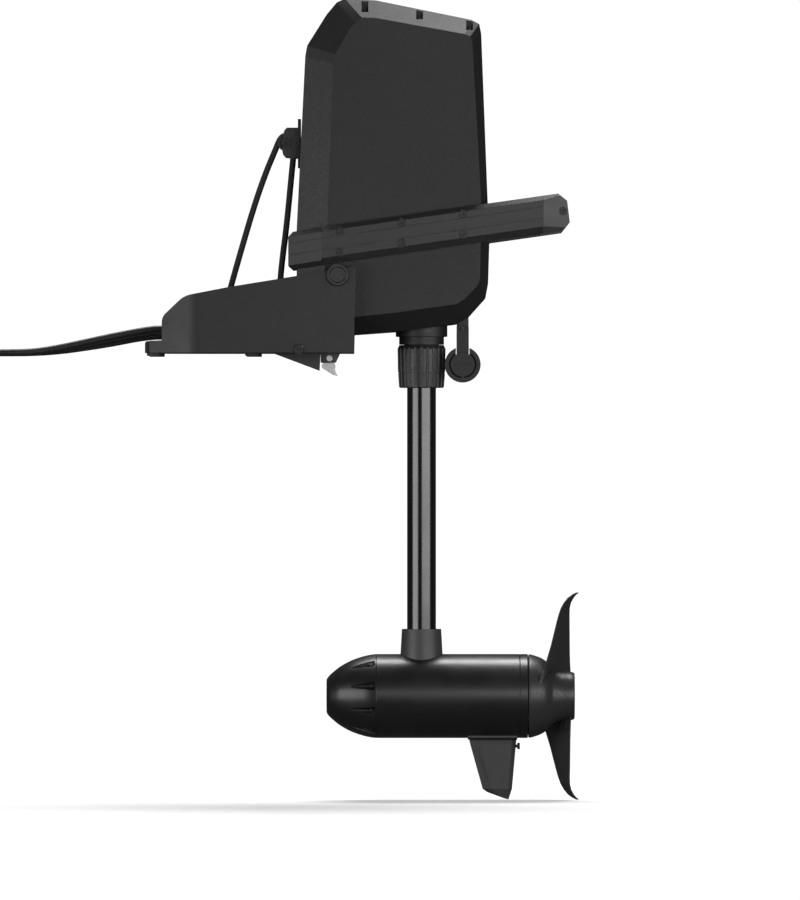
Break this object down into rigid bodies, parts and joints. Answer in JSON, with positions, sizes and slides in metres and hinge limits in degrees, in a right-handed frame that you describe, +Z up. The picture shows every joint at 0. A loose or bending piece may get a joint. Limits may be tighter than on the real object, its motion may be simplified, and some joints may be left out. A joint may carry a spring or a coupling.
{
  "type": "trolling motor",
  "caption": "Bow-mount electric trolling motor: tilting head on a deck base, steered sliding shaft and a submersible motor with a two-blade propeller.",
  "frame": {"origin": "middle of the four deck bolts, on the plane the feet stand on", "axes": "+Z up, +X out over the bow towards the shaft, +Y to the side away from the cap strap"},
  "size_m": [0.8811, 0.3594, 1.0391],
  "materials": {
    "coated_plate": "black powder coat",
    "head_moulding": "fine matt texture",
    "black_extrusion": "black anodised, brushed",
    "cast_black": "painted casting",
    "black_moulding": "satin moulding",
    "black_screw": "black oxide",
    "bright_steel": "zinc and stainless",
    "rubber": "matt rubber",
    "cable_jacket": "smooth jacket",
    "braid": "braided rope",
    "shaft_coat": "gloss black tube",
    "motor_coat": "satin black paint",
    "prop_moulding": "glass-filled nylon",
    "brass": "plain",
    "board": "circuit board",
    "winding": "laminations and windings"
  },
  "bodies": {
    "base": {"side_plate_near": "coated_plate", "side_plate_far": "coated_plate", "base_floor": "coated_plate", "rope_bracket": "coated_plate", "rear_block": "black_moulding", "cable_clamp": "black_moulding", "latch_housing": "black_moulding", "rope_handle": "black_moulding", "power_plug": "black_moulding", "sonar_plug": "black_moulding", "deck_feet": "rubber", "pivot_bolts": "black_moulding", "plate_fasteners": "black_screw", "latch_bracket": "cast_black", "clevis_pins": "bright_steel", "rope_legs": "braid", "pull_rope": "braid", "rope_coil": "braid", "power_cable": "cable_jacket", "power_coil": "cable_jacket", "sonar_cable": "cable_jacket", "head_cables": "cable_jacket"},
    "base_sheave": {"base_sheave": "black_moulding"},
    "latch": {"latch_hook": "bright_steel"},
    "head": {"head_shell_near": "head_moulding", "head_shell_far": "head_moulding", "outlet_flange": "head_moulding", "head_screws": "black_screw", "rail_screws": "black_screw", "guide_bolt": "black_screw", "side_rails": "black_extrusion", "rail_rear": "black_extrusion", "grip_bar": "cast_black", "guide_block": "black_moulding", "cable_glands": "black_moulding", "pivot_bushes": "black_moulding", "striker": "bright_steel", "shaft_bearings": "bright_steel", "steering_motor": "bright_steel", "steering_frame": "cast_black", "control_board": "board"},
    "guide_sheave": {"guide_sheave": "black_moulding"},
    "steering": {"steer_sleeve": "cast_black"},
    "pinion": {"steer_pinion": "bright_steel"},
    "collar": {"depth_collar": "black_moulding"},
    "cap": {"cap_strap": "rubber", "cap_ring": "rubber"},
    "shaft": {"shaft_tube": "shaft_coat", "shaft_cable": "cable_jacket", "motor_collar": "cast_black", "skeg": "cast_black", "motor_housing": "motor_coat", "nose_cone": "motor_coat", "rear_bell": "motor_coat", "stator": "winding", "motor_bearings": "bright_steel", "motor_screws": "black_screw"},
    "propeller": {"propeller": "prop_moulding", "rotor": "bright_steel", "prop_nut": "bright_steel"}
  },
  "joints": [
    {"name": "stow_tilt", "type": "hinge", "parent": "base", "child": "head", "pos_m": [0.1734, 0, 0.1043], "axis": [0, -1, 0], "range_deg": [0, 90], "deforming": ["rope_legs", "head_cables"]},
    {"name": "steering", "type": "hinge", "parent": "head", "child": "steering", "pos_m": [0.2818, 0, 0.1], "axis": [0, 0, 1], "range_deg": [-180, 180]},
    {"name": "pinion_spin", "type": "hinge", "parent": "head", "child": "pinion", "pos_m": [0.2218, 0, 0.1], "axis": [0, 0, 1], "range_deg": [-720, 720]},
    {"name": "depth_slide", "type": "slide", "parent": "steering", "child": "shaft", "axis": [0, 0, -1], "range_m": [0, 0.2]},
    {"name": "collar_twist", "type": "hinge", "parent": "steering", "child": "collar", "pos_m": [0.2818, 0, 0], "axis": [0, 0, 1], "range_deg": [0, 120]},
    {"name": "propeller_spin", "type": "hinge", "parent": "shaft", "child": "propeller", "pos_m": [0.45, 0, -0.4415], "axis": [1, 0, 0], "continuous": true},
    {"name": "latch_swing", "type": "hinge", "parent": "base", "child": "latch", "pos_m": [0.1622, 0, -0.0026], "axis": [0, -1, 0], "range_deg": [0, 95]},
    {"name": "base_sheave_spin", "type": "hinge", "parent": "base", "child": "base_sheave", "pos_m": [0.006, 0.028, 0.034], "axis": [0, 1, 0], "continuous": true},
    {"name": "guide_sheave_spin", "type": "hinge", "parent": "head", "child": "guide_sheave", "pos_m": [0.106, 0, 0.2774], "axis": [0, 1, 0], "continuous": true},
    {"name": "cap_swing", "type": "hinge", "parent": "head", "child": "cap", "pos_m": [0.3351, -0.024, 0.036], "axis": [0, 1, 0], "range_deg": [-60, 5]}
  ],
  "couplings": [
    {"joint": "pinion_spin", "follows": "steering", "ratio": -4}
  ]
}
